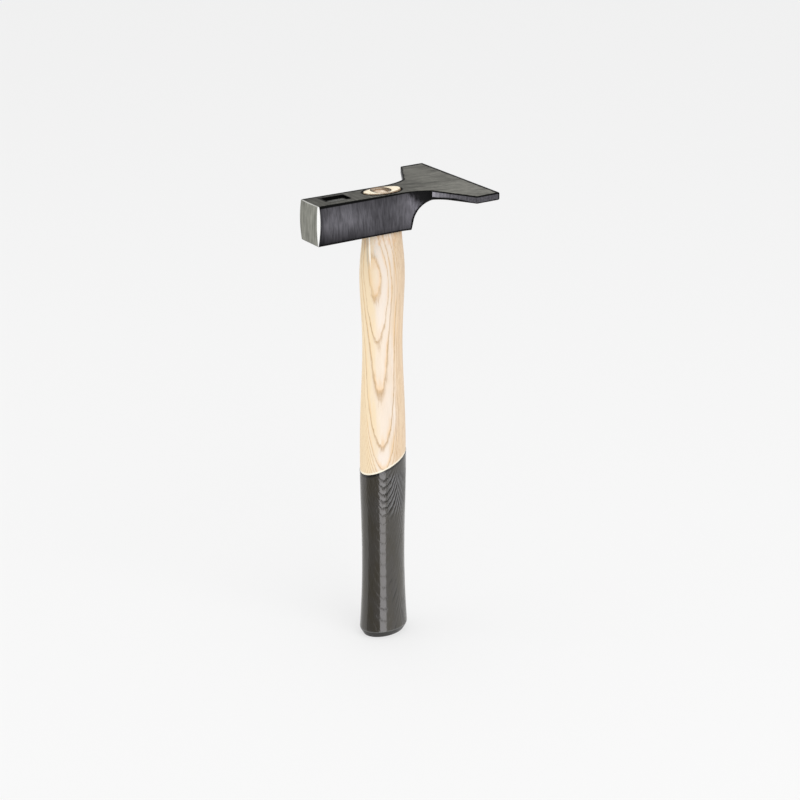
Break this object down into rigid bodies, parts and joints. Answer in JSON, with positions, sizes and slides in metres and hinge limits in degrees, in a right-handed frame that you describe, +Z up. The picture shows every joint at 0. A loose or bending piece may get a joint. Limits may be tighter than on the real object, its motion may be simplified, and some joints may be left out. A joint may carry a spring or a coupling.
{
  "type": "brick hammer",
  "caption": "Brick hammer with a square striking poll, a broad flat cross blade, an oval ash handle wedged in the eye and a lacquered grip.",
  "frame": {"origin": "centre of the flat butt, where the hammer stands on end", "axes": "+Z up the handle to the head, -X towards the striking face, +X towards the blade's edge, Y across the blade"},
  "size_m": [0.1356, 0.1032, 0.3732],
  "materials": {
    "head_steel": "satin",
    "ash_wood": "satin",
    "wedge_steel": "satin",
    "black_lacquer": "gloss"
  },
  "bodies": {
    "root": {"hammer_head": "head_steel", "ash_handle": "ash_wood", "ring_wedge": "wedge_steel", "grip_lacquer": "black_lacquer"}
  },
  "joints": []
}
